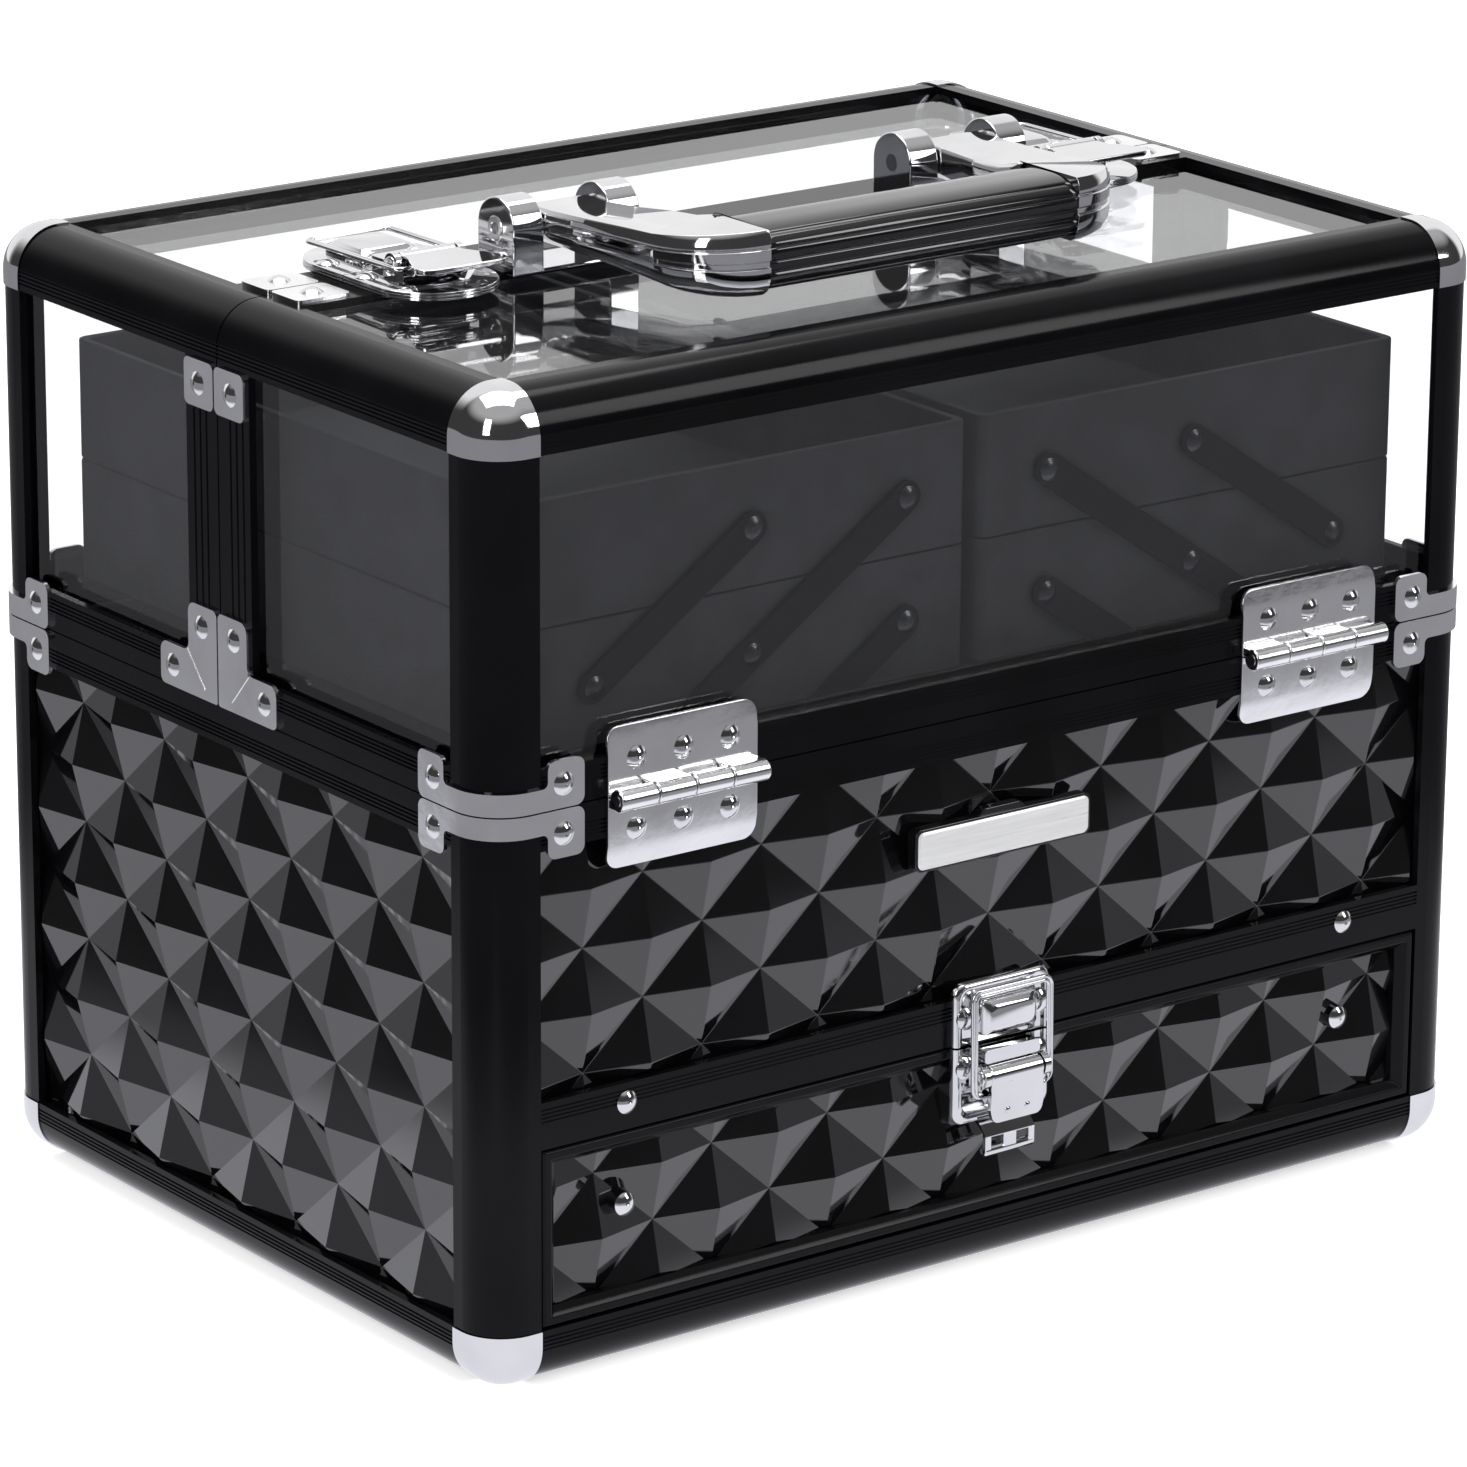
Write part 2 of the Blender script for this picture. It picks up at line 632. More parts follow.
def add_corner_bracket(bm, place):
    """Two plates beside a post and the strap round it. The corner is at the origin, and w is up."""
    reach = RAIL_W + BRACKET_W
    fillet, corner = 1.6, 2.5
    outer, inner = CORNER_R + PLATE_T, CORNER_R
    centre = Vector((CORNER_R, CORNER_R))
    bend = arc_between(centre, centre + Vector((-outer, 0)), centre + Vector((0, -outer)), 10)
    back = arc_between(centre, centre + Vector((0, -inner)), centre + Vector((-inner, 0)), 10)
    strap = [Vector((-PLATE_T, RAIL_W))] + bend + [Vector((RAIL_W, -PLATE_T)), Vector((RAIL_W, 0))] + back + [
        Vector((0, RAIL_W))]
    add_prism(bm, strap, 0, STRAP_H, place)
    near = RAIL_W + 1.5
    plate = rounded([(RAIL_W - 0.01, 0, 0), (reach, 0, corner), (reach, BRACKET_W, corner),
                     (near, BRACKET_W, corner), (near, STRAP_H, fillet), (RAIL_W - 0.01, STRAP_H, 0)])
    on_x = place @ Matrix(((1, 0, 0, 0), (0, 0, -1, 0), (0, 1, 0, 0), (0, 0, 0, 1)))
    on_y = place @ Matrix(((0, 0, -1, 0), (1, 0, 0, 0), (0, 1, 0, 0), (0, 0, 0, 1)))
    for side in (on_x, on_y):
        add_prism(bm, plate, 0, PLATE_T, side)


def corner_places(z, up, ys):
    for x in (-1, 1):
        for y in ys:
            inward = Matrix.Diagonal((-x, -y, up, 1))
            yield Matrix.Translation((x * HALF_L, y * HALF_W, z)) @ inward


def seam_end(x, side, seam):
    """On an end of the case: u runs from the seam to the front or back, v up, and w out of the end."""
    return Matrix(((0, 0, x, x * HALF_L), (side, 0, 0, seam), (0, 1, 0, 0), (0, 0, 0, 1)))


def add_seam_bracket(bm, place):
    """An L-shaped bracket beside the seam. The seam's corner is at the origin, and u runs away from it."""
    arm, foot = SEAM_PLATE_W, 12
    shape = rounded([(0, 0, 0.8), (SEAM_BRACKET_L, 0, 2), (SEAM_BRACKET_L, foot, 3), (arm, foot, 2.5),
                     (arm, SEAM_BRACKET_H, 3), (0, SEAM_BRACKET_H, 2)])
    add_prism(bm, shape, 0, PLATE_T, place)
    crease = rounded([(arm + 0.6, foot + 0.6, 0), (arm - 8, foot - 9, 0), (arm - 7.4, foot - 9.4, 0),
                      (arm + 1.0, foot - 0.2, 0)])
    add_prism(bm, crease, PLATE_T - 0.1, PLATE_T + 0.22, place)


def lid_brackets():
    for half, seam, side in LID_HALVES:
        bm = bmesh.new()
        for place in corner_places(LID_BOTTOM, 1, (side,)):
            add_corner_bracket(bm, place)
        for x in (-1, 1):
            end = seam_end(x, side, seam)
            add_seam_bracket(bm, end @ Matrix.Translation((0, LID_BOTTOM, 0)))
            upper = CASE_H - RAIL_W
            add_prism(bm, rectangle(0, upper - TOP_PLATE_H, SEAM_PLATE_W, upper, 2), 0, PLATE_T, end)
            top = Matrix(((-x, 0, 0, x * OPEN_X), (0, side, 0, seam), (0, 0, 1, CASE_H), (0, 0, 0, 1)))
            add_prism(bm, rectangle(0, 0, TOP_PLATE_L, SEAM_PLATE_W, 2), 0, PLATE_T, top)
        node = half + "_lid_brackets"
        stand_in(half + "_brackets", bm, PLATED, node, bevel=0.3)


def base_brackets():
    bm = bmesh.new()
    for place in corner_places(BASE_TOP, -1, (-1, 1)):
        add_corner_bracket(bm, place)
    stand_in("base_brackets", bm, PLATED, "base_corner_brackets", bevel=0.3)


def seam_ribs():
    """Fine ribs down the seam bars of both ends."""
    width, sink, proud = 0.9, 0.2, 0.3
    for half, seam, side in LID_HALVES:
        bm = bmesh.new()
        for x in (-1, 1):
            for u in (5.5, 8.5, 11.5):
                rib = rectangle(u - width / 2, LID_BOTTOM + RIM_H, u + width / 2, CASE_H - RAIL_W)
                add_prism(bm, rib, -sink, proud, seam_end(x, side, seam))
        piece(half + "_seam_ribs", bm, RAIL, half + "_lid_seam_bars", bevel=0.2)


# ---- trays ----
TRAY_HALF_W = 106
TRAY_WALL = 2.5
PIVOT_DROP = 17.5
ARM_T = 1.5


def trays():
    for side in ("left", "right"):
        for level in ("middle", "upper"):
            node = side + "_" + level + "_tray"
            low, high = span(node)
            outer = rectangle(low.x, -TRAY_HALF_W, high.x, TRAY_HALF_W, 3)
            inner_y = TRAY_HALF_W - TRAY_WALL
            inner = rectangle(low.x + TRAY_WALL, -inner_y, high.x - TRAY_WALL, inner_y, 2)
            bm = bmesh.new()
            add_tray(bm, outer, inner, low.z, low.z + TRAY_WALL, high.z)
            stand_in(node + "_shell", bm, TRAY, node, bevel=0.5)


def tray_pins():
    """The gunmetal rivets that the arms turn on, in front of the trays and behind them."""
    out = span("left_long_arms")[1].y - HALF_W
    for side, sign in (("left", -1), ("right", 1)):
        for level, xs in (("middle", PIVOT_X), ("upper", PIVOT_X[:2])):
            node = side + "_" + level + "_tray"
            z = span(node)[1].z - PIVOT_DROP
            bm = bmesh.new()
            for x in xs:
                for face, u in ((FRONT, sign * x), (BACK, -sign * x)):
                    add_dome(bm, face @ Matrix.Translation((u, z, out)), height=1.3)
            piece(node + "_rivets", bm, GUNMETAL, node, slot="black_arms", sharp=40)


def add_arm(bm, start, end, face):
    """A flat arm between two pivots, with round ends and bevelled edges."""
    low = span("left_long_arms")[0].y + HALF_W
    run = Vector(end) - Vector(start)
    turn = Matrix.Translation((*start, 0)) @ Matrix.Rotation(math.atan2(run.y, run.x), 4, "Z")
    shape = rectangle(-ARM_W / 2, -ARM_W / 2, run.length + ARM_W / 2, ARM_W / 2, ARM_W / 2 - 0.01, 10)
    add_prism(bm, shape, -low - ARM_T, -low, face @ turn)


def arms():
    """The slanting arms that carry the trays, in front of them and behind them."""
    x1, x2, x3 = PIVOT_X
    z0, z1, z2 = PIVOT_Z
    for name, start, end in (("long_arms", (x3, z0), (x1, z2)), ("lower_links", (x2, z0), (x1, z1)),
                             ("upper_links", (x3, z1), (x2, z2))):
        for side, sign in (("left", -1), ("right", 1)):
            bm = bmesh.new()
            for face, flip in ((FRONT, sign), (BACK, -sign)):
                add_arm(bm, (flip * start[0], start[1]), (flip * end[0], end[1]), face)
            node = side + "_" + name
            stand_in(node + "_flat", bm, ARM, node, bevel=0.35, segments=3)


# ---- handle ----
HANDLE_REACH = 75
HANDLE_T = 10
GRIP_W = 27
GRIP_H = 18
EAR_T = 10
EAR_R = 8.5
HANDLE_PLACE = TOP @ Matrix.Translation((0, HANDLE_Y, HANDLE_RISE))


def handle_stations():
    """Outer point, inner point and height of the frame from its pivot round the corner to the grip."""
    radius = 23
    lean = 2.5
    centre = Vector((GRIP_HALF, radius - HANDLE_REACH))
    root = HANDLE_X - HANDLE_ROOT
    stations = [((HANDLE_X, 0), (root, 0), HANDLE_T), ((HANDLE_X, -9), (root, -9), HANDLE_T),
                ((HANDLE_X - 1, -24), (root - 2, -21), HANDLE_T + 1),
                ((HANDLE_X - 2, -40), (root - 5, -32), HANDLE_T + 2.5)]
    # Inside of the corner, measured from the frame's root
    inside = [(-6, -41), (-6.5, -45), (-6.5, -48.5), (-6, -50), (-5.5, -51)]
    for k in range(9):
        angle = -math.pi / 2 * k / 8
        outer = centre + Vector((math.cos(angle) * (HANDLE_X - lean - GRIP_HALF), math.sin(angle) * radius))
        low, part = divmod(k / 2, 1)
        first, second = inside[int(low)], inside[min(int(low) + 1, 4)]
        inner = Vector((root, 0)) + Vector(first).lerp(Vector(second), part)
        height = HANDLE_T + 3.5 + (GRIP_H - HANDLE_T - 3.5) * math.sin(-angle)
        stations.append((outer, inner, height))
    stations[-1] = (centre - Vector((0, radius)), Vector((GRIP_HALF, GRIP_W - HANDLE_REACH)), GRIP_H)
    return stations


# Section of the handle's frame: edge it is measured from, inset from that
# edge, and height as a share of half the frame's height
FRAME_SECTION = [("inner", 0, -0.6), ("inner", 1.2, -0.9), ("inner", 3, -1), ("outer", 3.6, -1),
                 ("outer", 1.5, -0.85), ("outer", 0.4, -0.58), ("outer", 0, -0.35), ("outer", 0, -0.14),
                 ("outer", 0.6, -0.1), ("outer", 0.6, 0.06), ("outer", 0, 0.1), ("outer", 0, 0.42),
                 ("outer", 0.3, 0.45), ("outer", 0.3, 0.5), ("outer", 0, 0.53), ("outer", 0.2, 0.8),
                 ("outer", 1.3, 1), ("inner", 1.5, 1), ("inner", 0.4, 0.88), ("inner", 0, 0.6)]


def add_handle_side(bm, place):
    rings = []
    for outer, inner, height in handle_stations():
        outer, inner = Vector(outer), Vector(inner)
        across = (outer - inner).normalized()
        ring = []
        for edge, inset, share in FRAME_SECTION:
            spot = outer - across * inset if edge == "outer" else inner + across * inset
            ring.append(bm.verts.new(place @ Vector((spot.x, spot.y, share * height / 2))))
        rings.append(ring)
    add_solid(bm, rings)


def handle():
    """The bright frame with a groove round its side."""
    root = Matrix.Translation((HANDLE_X - HANDLE_ROOT / 2, 0, 0))
    bm = bmesh.new()
    for mirror in BOTH_ENDS:
        add_handle_side(bm, HANDLE_PLACE @ mirror)
        add_rod(bm, HANDLE_T / 2, HANDLE_ROOT - 0.4, HANDLE_PLACE @ mirror @ root @ ALONG_U, 0.6, 36)
    stand_in("handle_frame_bright", bm, CHROME, "handle_frame", bevel=0.2, sharp=38)


def grip_section(scale):
    """Section of the grip in (v, w): a rounded bar with long flutes along its front."""
    half_w, half_h = GRIP_W / 2, GRIP_H / 2
    power = 3
    # Directions of the flutes and their half width, in degrees up from the front, and their depth
    flutes = (-40, -18, 4, 26, 46)
    spread, depth = 1.9, 0.035
    points = []
    for k in range(180):
        angle = 2 * math.pi * k / 180
        c, s = math.cos(angle), math.sin(angle)
        reach = (abs(c) ** power + abs(s) ** power) ** (-1 / power)
        degrees = math.degrees(math.atan2(s, -c))
        dip = max(math.exp(-((degrees - flute) / spread) ** 2) for flute in flutes)
        points.append(Vector((half_w * c * reach, half_h * s * reach)) * (scale - depth * dip))
    return points


def grip():
    """The fluted grip between the frame's ends."""
    centre = GRIP_W / 2 - HANDLE_REACH
    slim = 0.995
    # Inset from the grip's end, and scale of the section there
    ends = [(0, 0.965), (0.8, 0.985), (2.5, 1.0)]
    stations = [(inset - GRIP_HALF, scale) for inset, scale in ends]
    stations += [(GRIP_HALF - inset, scale) for inset, scale in reversed(ends)]
    along = Matrix.Translation((0, centre, 0)) @ ACROSS
    bm = bmesh.new()
    add_layers(bm, [(grip_section(scale * slim), u) for u, scale in stations], HANDLE_PLACE @ along)
    stand_in("handle_grip_gloss", bm, GRIP, "handle_grip", sharp=60)


def add_ear(bm, place, radius, foot, low, high):
    """An ear with a round top about the origin, standing on w = foot, from u = low to u = high."""
    top = [radius * heading(math.pi * k / 20) for k in range(21)]
    add_prism(bm, top + [Vector((-radius, foot)), Vector((radius, foot))], low, high, place @ ACROSS)


def add_bush(bm, place, radius, bore, low, high):
    """A short tube along u with a stepped mouth at high."""
    turn = place @ ALONG_U
    rings = [ring_of(bm, disc(r, 28), w, turn)
             for r, w in ((radius, low), (radius, high - 0.25), (radius - 0.25, high), (bore + 0.2, high),
                          (bore, high - 0.2), (bore, low))]
    bridge_all(bm, rings + rings[:1])


def handle_ears():
    """The two ears at each end of the handle, the plate between them, and the ends of the pins."""
    bm = bmesh.new()
    for mirror in BOTH_ENDS:
        place = HANDLE_PLACE @ mirror
        for low in (EAR_OUT, EAR_IN - EAR_T):
            add_ear(bm, place, EAR_R, -HANDLE_RISE, low, low + EAR_T)
        sole = rectangle(EAR_IN - 0.5, -EAR_R, EAR_OUT + 0.5, EAR_R)
        add_prism(bm, sole, -HANDLE_RISE, PLATE_T - HANDLE_RISE, place)
    stand_in("handle_ears", bm, CHROME, "handle_brackets", bevel=0.9, segments=4)
    bm = bmesh.new()
    bore, sunk = 1.7, 1.3
    for mirror in BOTH_ENDS:
        place = HANDLE_PLACE @ mirror @ Matrix.Translation((EAR_OUT + EAR_T, 0, 0))
        add_bush(bm, place, 3.4, bore, -1, 0.35)
        add_rod(bm, bore + 0.05, 1.5, place @ Matrix.Translation((-sunk, 0, 0)) @ ALONG_U)
    piece("handle_pin_ends", bm, STEEL, "handle_brackets", slot="steel")


# ---- latches ----
LATCH_T = 2.2
BLOCK_W = 19
BLOCK_V = 3
BLOCK_H = 6.8
COVER_H = BLOCK_H - 0.2
PIVOT_W = 6.5
LEVER_HALF = 9
THROW = 5.5
WIRE_R = 1.1
BAIL_CLEAR = 1.5
BAIL_RISE = 0.5
BAIL_U = 13
BEND_R = 2.2
THIN_WIRE_R = 0.58
LEVER_R = 3.2
BAIL_BARREL_R = 2.6
SEAM_GAP = 0.3
# Edges of the plates, as inset and height: three stacked lips, and a rolled rim round a sunk middle
STACKED = [(0, 0), (0, 0.55), (0.45, 0.65), (0.45, 0.8), (0, 0.9), (0, 1.35), (0.45, 1.45), (0.45, 1.6),
           (0.1, 1.7), (0.1, 2.0), (0.3, LATCH_T)]
ROLLED = [(0, 0), (0, 1.1), (0.35, 1.8), (1.0, LATCH_T), (1.7, LATCH_T), (2.3, 1.9), (2.8, 1.5), (3.0, 1.45)]
LID_LATCH = {"w": LID_LATCH_W, "catch": 31, "base": 33, "block": 19, "pivot": 13, "thumb": 20, "thumb_w": 29,
             "r": 17, "edge": STACKED}
DRAWER_LATCH = {"w": 33, "catch": 18, "base": 22.5, "block": 10.5, "pivot": 8, "thumb": 13, "thumb_w": 18.5,
                "r": 3.5, "edge": ROLLED}
# Each latch's place, with v running from its seam toward the catch, and its sizes
LATCHES = {
    "left": (TOP @ Matrix.Translation((-LATCH_X, SEAM_MIDDLE, 0)), LID_LATCH),
    "right": (TOP @ Matrix.Translation((LATCH_X, SEAM_MIDDLE, 0)), LID_LATCH),
    "drawer": (FRONT @ Matrix.Translation((0, DRAWER_TOP - SEAM_GAP, 0)), DRAWER_LATCH),
}


def add_plate(bm, place, size, length):
    """A latch's plate, from its gap at the seam to its rounded end."""
    r = size["r"]
    layers = []
    for inset, w in size["edge"]:
        half, end = size["w"] / 2 - inset, length - inset
        outline = [(-half, SEAM_GAP, 0), (half, SEAM_GAP, 0), (half, end, r), (-half, end, r)]
        layers.append((rounded(outline, steps=16), w))
    add_layers(bm, layers, place)


def add_block(bm, place, v0, v1):
    """A raised block with stepped ridges round its top."""
    half = BLOCK_W / 2
    section = [(0, LATCH_T - 1), (0, 4.4), (0.3, 5.2), (1.1, 5.6), (1.5, 6.3), (2.4, BLOCK_H)]
    add_layers(bm, [(rectangle(inset - half, v0 + inset, half - inset, v1 - inset, 1.5 + inset / 2), w)
                    for inset, w in section], place)


def add_side_domes(bm, place, w, v):
    for side in (-1, 1):
        add_dome(bm, place @ Matrix.Translation((side * (w / 2 - 3.7), v, LATCH_T)))


def add_wire_loop(bm, place, reach, offset):
    """A loop of thin wire from the bail's pivot round the catch block, offset outward in its own plane."""
    rings = []
    for k in range(10):
        angle = 2 * math.pi * k / 10
        across = THIN_WIRE_R * math.cos(angle)
        grow = offset + across
        outline = rectangle(-BAIL_U - grow, -across, BAIL_U + grow, reach + grow, BEND_R + grow, 8)
        rings.append(ring_of(bm, outline, THIN_WIRE_R * math.sin(angle), place))
    bridge_all(bm, rings + rings[:1])


def add_lever(bm, place, size):
    """The lever about its pivot: two rolled barrels, a web and the thumb plate."""
    add_rod(bm, LEVER_R, 2 * LEVER_HALF, place @ ALONG_U, 0.5, 36)
    add_rod(bm, BAIL_BARREL_R, 2 * LEVER_HALF, place @ Matrix.Translation((0, -THROW, 0)) @ ALONG_U, 0.5, 32)
    web = rectangle(-LEVER_HALF, -THROW, LEVER_HALF, 0)
    add_prism(bm, web, -BAIL_BARREL_R + 0.3, BAIL_BARREL_R - 0.2, place)
    end, wide = size["thumb"], size["thumb_w"] / 2
    flare = LEVER_R + 1.3
    corner = 4 if size is LID_LATCH else 2.5
    left = [(-LEVER_HALF, 0, 0), (-LEVER_HALF, -flare, 2), (-wide, -end + 4, 2), (-wide + 1, -end, corner)]
    right = [(-u, v, r) for u, v, r in reversed(left)]
    outline = rounded(left + right, steps=8)
    add_prism(bm, outline, 1.0, BAIL_BARREL_R, place)
    if size is DRAWER_LATCH:
        for side in (-1, 1):
            add_dome(bm, place @ Matrix.Translation((side * 3.4, 3.2 - end, BAIL_BARREL_R)), 1.0, 0.5, 0.1)


def add_base(bm, place, size):
    """The lever's plate, with its ears and the cover between them and the seam."""
    add_plate(bm, place @ MIRROR_Y, size, size["base"])
    add_side_domes(bm, place, size["w"], -6)
    cover = rectangle(-BLOCK_W / 2, 3.6 - size["pivot"], BLOCK_W / 2, -0.6, 1)
    add_prism(bm, cover, LATCH_T - 1, COVER_H, place)
    pivot = place @ Matrix.Translation((0, -size["pivot"], PIVOT_W))
    ear, ear_end = LEVER_HALF + 0.3, LEVER_HALF + 2.3
    for mirror in BOTH_ENDS:
        add_ear(bm, pivot @ mirror, LEVER_R, LATCH_T - PIVOT_W - 0.2, ear, ear_end)
        add_bush(bm, pivot @ mirror @ Matrix.Translation((ear_end, 0, 0)), 2.3, 1.2, -0.3, 0.4)


def add_catch(bm, place, size):
    add_plate(bm, place, size, size["catch"])
    add_block(bm, place, BLOCK_V, BLOCK_V + size["block"])
    add_side_domes(bm, place, size["w"], BLOCK_V + size["block"] / 2)


def add_padlock_tab(bm, place, start):
    """A tab bent out from the plate's end, with two slots and a curled lip."""
    half, wall, out, length = 8.5, 1.3, 3.9, 10
    slot_start, slot_end = start - out - 0.6, start - length + 1.8
    far = start - length + 0.9
    top = LATCH_T + out
    under, edge, middle = top - wall, 2, 2.2
    bend = [(start + 0.5, 0.5), (start + 0.5, LATCH_T), (start, LATCH_T), (start - out, top),
            (slot_start, top), (slot_start, under), (start - out + 0.6, under), (start - 0.5, 0.5)]
    lip = [(slot_end, top), (far, top), (far, under), (slot_end, under)]
    bar = [(slot_start, top), (slot_end, top), (slot_end, under), (slot_start, under)]
    for shape, low, high in ((bend, -half, half), (lip, -half, half), (bar, -half, -half + edge),
                             (bar, -middle, middle), (bar, half - edge, half)):
        add_prism(bm, [Vector(point) for point in shape], low, high, place @ ACROSS)
    add_rod(bm, 1.4, 2 * half, place @ Matrix.Translation((0, far + 0.4, top - 1.3)) @ ALONG_U, 0.4, 20)


def lid_latches():
    bases, catches = bmesh.new(), bmesh.new()
    for side in ("left", "right"):
        place, size = LATCHES[side]
        add_base(bases, place, size)
        # The button on the cover
        add_dome(bases, place @ Matrix.Translation((2.5, -4.4, COVER_H)), 2.7, 1.5)
        add_catch(catches, place, size)
    stand_in("lid_latch_bases", bases, CHROME, "latch_bases", bevel=0.2, sharp=50)
    stand_in("lid_latch_catches", catches, CHROME, "latch_catches", bevel=0.2, sharp=50)


def drawer_latch():
    place, size = LATCHES["drawer"]
    bm = bmesh.new()
    add_catch(bm, place, size)
    stand_in("drawer_latch_catch", bm, CHROME, "drawer_catch", bevel=0.2, sharp=50)
    bm = bmesh.new()
    add_base(bm, place, size)
    add_padlock_tab(bm, place, 1 - size["base"])
    stand_in("drawer_latch_plate", bm, CHROME, "drawer_latch_base", bevel=0.2, sharp=50)


def levers_and_bails():
    for side, (place, size) in LATCHES.items():
        pivot = place @ Matrix.Translation((0, -size["pivot"], PIVOT_W))
        bm = bmesh.new()
        add_lever(bm, pivot, size)
        node = side + "_latch_lever"
        stand_in(node + "_bright", bm, CHROME, node, bevel=0.35, segments=3, sharp=40)
        reach = size["pivot"] + THROW + BLOCK_V + size["block"] + WIRE_R + BAIL_CLEAR
        tilt = Matrix.Rotation(-math.asin(BAIL_RISE / reach), 4, "X")
        bm = bmesh.new()
        for offset in (-THIN_WIRE_R, THIN_WIRE_R):
            add_wire_loop(bm, pivot @ Matrix.Translation((0, -THROW, 0)) @ tilt, reach, offset)
        node = side + "_latch_bail"
        stand_in(node + "_wires", bm, CHROME, node, sharp=50)


panels()
drawer_front()
nameplate()
hinges()
caps()
base_brackets()
lid_brackets()
seam_ribs()
trays()
tray_pins()
arms()
handle()
grip()
handle_ears()
lid_latches()
drawer_latch()
levers_and_bails()


# ---- camera ----
def make_camera():
    azimuth, elevation, roll = (math.radians(a) for a in (-36.817, 17.477, 0.352))
    target = Vector((-0.00027, 0, 0.122))
    distance = 2.0412
    focal_px, picture_px, sensor = 7251, 1467, 36
    back = Vector((math.sin(azimuth) * math.cos(elevation), -math.cos(azimuth) * math.cos(elevation),
                   math.sin(elevation)))
    right = Vector((math.cos(azimuth), math.sin(azimuth), 0))
    up = back.cross(right)
    side = right * math.cos(roll) + up * math.sin(roll)
    top = up * math.cos(roll) - right * math.sin(roll)
    data = bpy.data.cameras.new("camera")
    data.sensor_width = sensor
    data.lens = focal_px * sensor / picture_px
    data.clip_end = 50
    camera = new_object("camera", data)
    place = target + back * distance
    camera.matrix_world = Matrix(((side.x, top.x, back.x, place.x), (side.y, top.y, back.y, place.y),
                                  (side.z, top.z, back.z, place.z), (0, 0, 0, 1)))
    bpy.context.scene.camera = camera


# ---- studio and floor ----
def plug(tree, value, socket):
    """Set a socket to a number, or link another socket to it."""
    if isinstance(value, (int, float)):
        socket.default_value = value
    else:
        tree.links.new(value, socket)


def maths(tree, operation, one, two):
    """A maths node over two inputs, each a socket or a number."""
    node = tree.nodes.new("ShaderNodeMath")
    node.operation = operation
    for socket, value in zip(node.inputs, (one, two)):
        plug(tree, value, socket)
    return node.outputs["Value"]


def fade(tree, value, start, end, low, high):
    """Low up to start and high past end, with a smooth step between them."""
    ramp = tree.nodes.new("ShaderNodeMapRange")
    ramp.interpolation_type = "SMOOTHSTEP"
    set_inputs(ramp, {"From Min": start, "From Max": end, "To Min": low, "To Max": high})
    tree.links.new(value, ramp.inputs["Value"])
    return ramp.outputs["Result"]


def choose(tree, factor, one, two):
    """One where the factor is 0 and two where it is 1."""
    mix = tree.nodes.new("ShaderNodeMix")
    tree.links.new(factor, mix.inputs["Factor"])
    plug(tree, one, mix.inputs["A"])
    plug(tree, two, mix.inputs["B"])
    return mix.outputs["Result"]


def make_world():
    """White for the camera and in what is seen through the panes. Reflections show a studio with a white
    backdrop behind the case, a pale ceiling and a darker room in front."""
    world = bpy.data.worlds.new("studio")
    bpy.context.scene.world = world
    world.use_nodes = True
    tree = world.node_tree
    background = tree.nodes["Background"]
    coord = tree.nodes.new("ShaderNodeTexCoord")
    split = tree.nodes.new("ShaderNodeSeparateXYZ")
    tree.links.new(coord.outputs["Generated"], split.inputs["Vector"])
    x, y, z = (split.outputs[axis] for axis in "XYZ")
    # How far a direction points away from the camera, over the floor
    toward_back = maths(tree, "ADD", maths(tree, "MULTIPLY", x, 0.6), maths(tree, "MULTIPLY", y, 0.8))
    backdrop = fade(tree, toward_back, 0.35, 0.6, 0.05, 1.0)
    ceiling = fade(tree, z, 0.45, 0.8, 0.0, 0.5)
    studio = maths(tree, "MAXIMUM", backdrop, ceiling)
    path = tree.nodes.new("ShaderNodeLightPath")
    lit = choose(tree, path.outputs["Is Glossy Ray"], 0.55, studio)
    set_inputs(background, {"Color": (1, 1, 1, 1)})
    tree.links.new(choose(tree, path.outputs["Is Camera Ray"], lit, 1.0), background.inputs["Strength"])


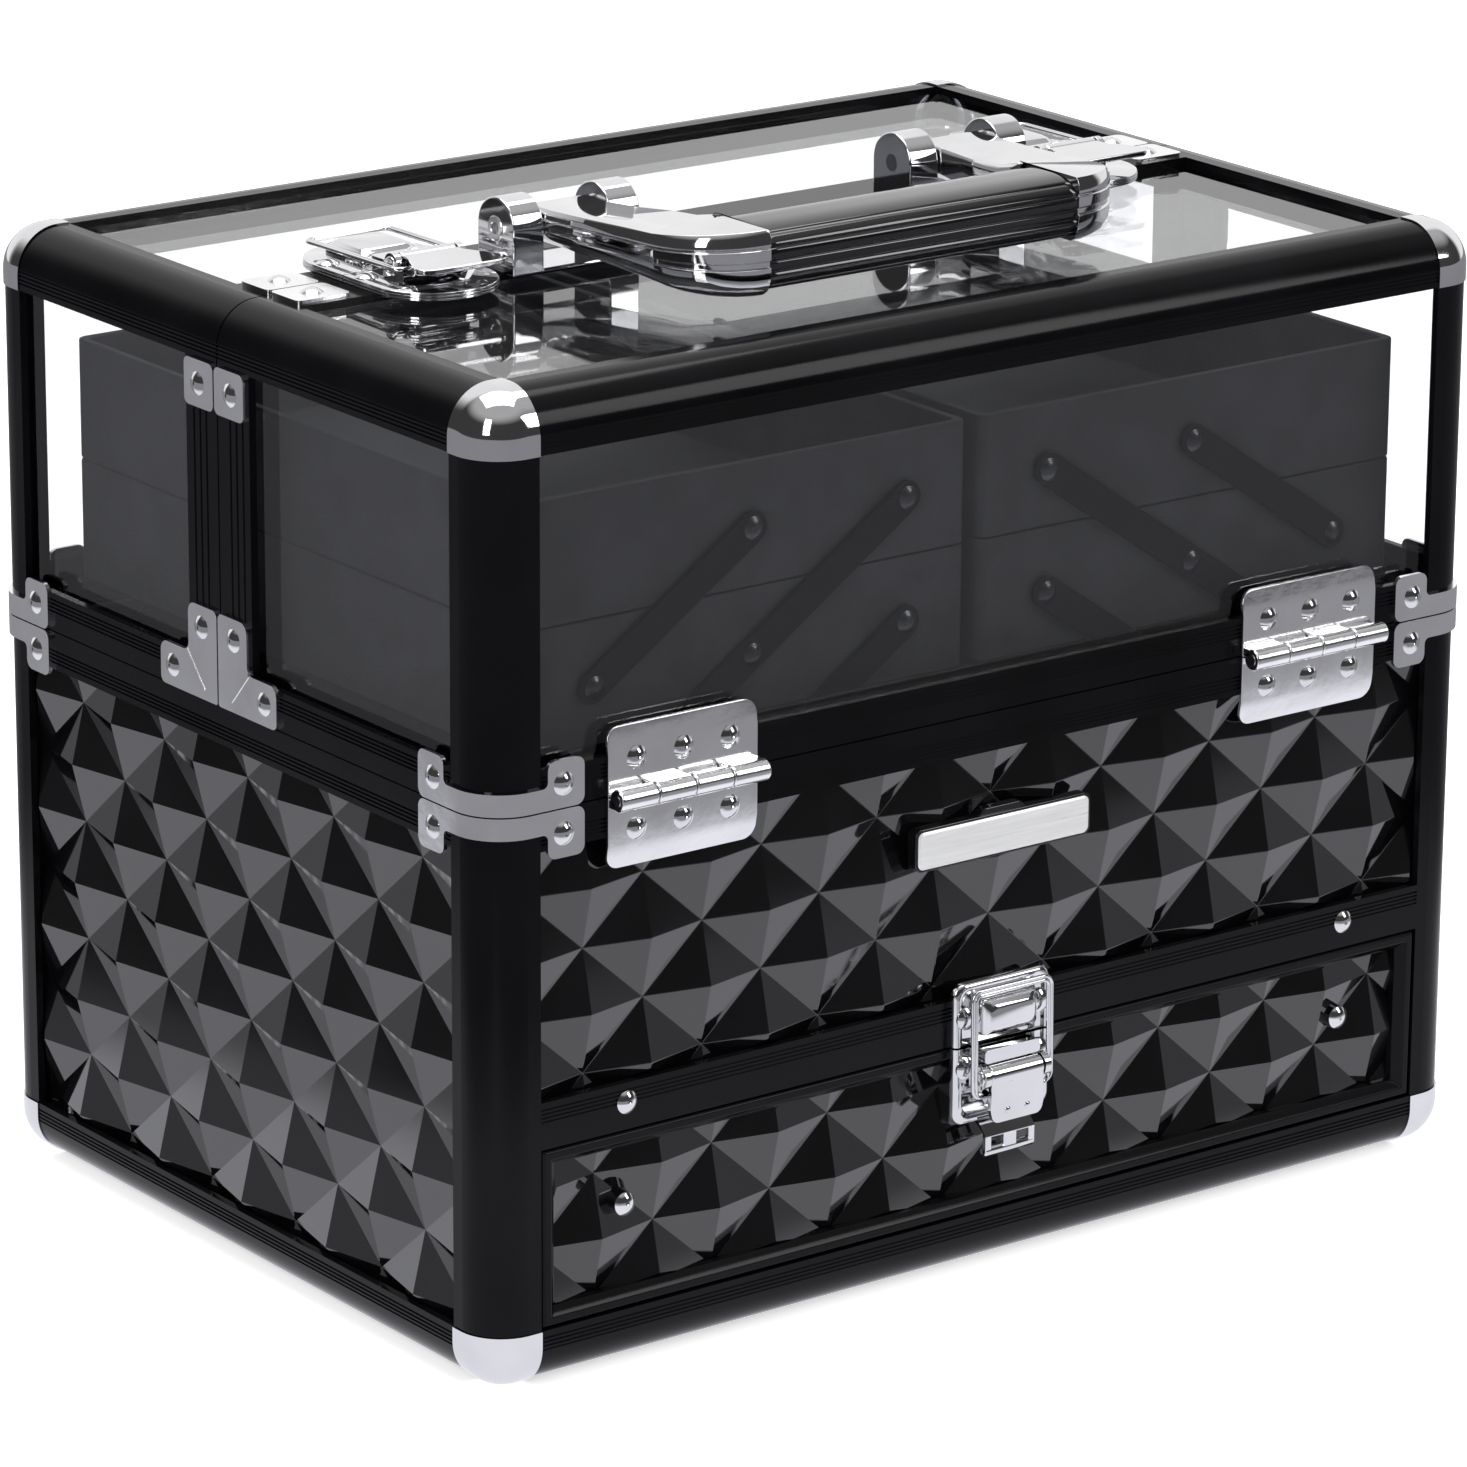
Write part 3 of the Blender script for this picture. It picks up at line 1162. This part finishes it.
def make_floor():
    """A pale floor. Reflections show it white round the case and darker farther off."""
    mesh = bpy.data.meshes.new("floor")
    size = 8
    corners = [(-size, -size, 0), (size, -size, 0), (size, size, 0), (-size, size, 0)]
    mesh.from_pydata(corners, [], [(0, 1, 2, 3)])
    floor = new_object("floor", mesh)
    mat, tree, shader = new_material("pale_floor")
    set_inputs(shader, {"Base Color": (0.9, 0.9, 0.9, 1), "Roughness": 0.7, "Specular IOR Level": 0.1,
                        "Emission Color": (1, 1, 1, 1)})
    path = tree.nodes.new("ShaderNodeLightPath")
    glow_seen = maths(tree, "MULTIPLY", path.outputs["Is Camera Ray"], 0.6)
    tree.links.new(glow_seen, shader.inputs["Emission Strength"])
    spot = tree.nodes.new("ShaderNodeNewGeometry")
    split = tree.nodes.new("ShaderNodeSeparateXYZ")
    tree.links.new(spot.outputs["Position"], split.inputs["Vector"])
    off = [maths(tree, "SUBTRACT", maths(tree, "ABSOLUTE", split.outputs[axis], 0), half * MM)
           for axis, half in (("X", HALF_L), ("Y", HALF_W))]
    glow = tree.nodes.new("ShaderNodeEmission")
    set_inputs(glow, {"Color": (0.93, 0.935, 1.0, 1)})
    tree.links.new(fade(tree, maths(tree, "MAXIMUM", *off), 0.13, 0.3, 1.0, 0.3), glow.inputs["Strength"])
    mix_surface(tree, path.outputs["Is Glossy Ray"], shader.outputs["BSDF"], glow.outputs["Emission"])
    mesh.materials.append(mat)


def area_light(name, place, target, size, power):
    data = bpy.data.lights.new(name, "AREA")
    data.shape = "RECTANGLE"
    data.size, data.size_y = size
    data.energy = power
    direction = Vector(target) - Vector(place)
    turn = direction.to_track_quat("-Z", "Y").to_matrix().to_4x4()
    new_object(name, data).matrix_world = Matrix.Translation(place) @ turn


make_camera()
make_world()
make_floor()
area_light("top_softbox", (0.1, 0.2, 2.0), (0, 0, 0.1), (1.8, 1.4), 30)
area_light("left_softbox", (-1.7, -0.9, 1.1), (0, 0, 0.15), (0.5, 1.2), 12)
area_light("right_softbox", (1.3, -1.7, 1.3), (0, 0, 0.15), (0.6, 1.0), 10)
bpy.context.scene.view_settings.view_transform = "Standard"
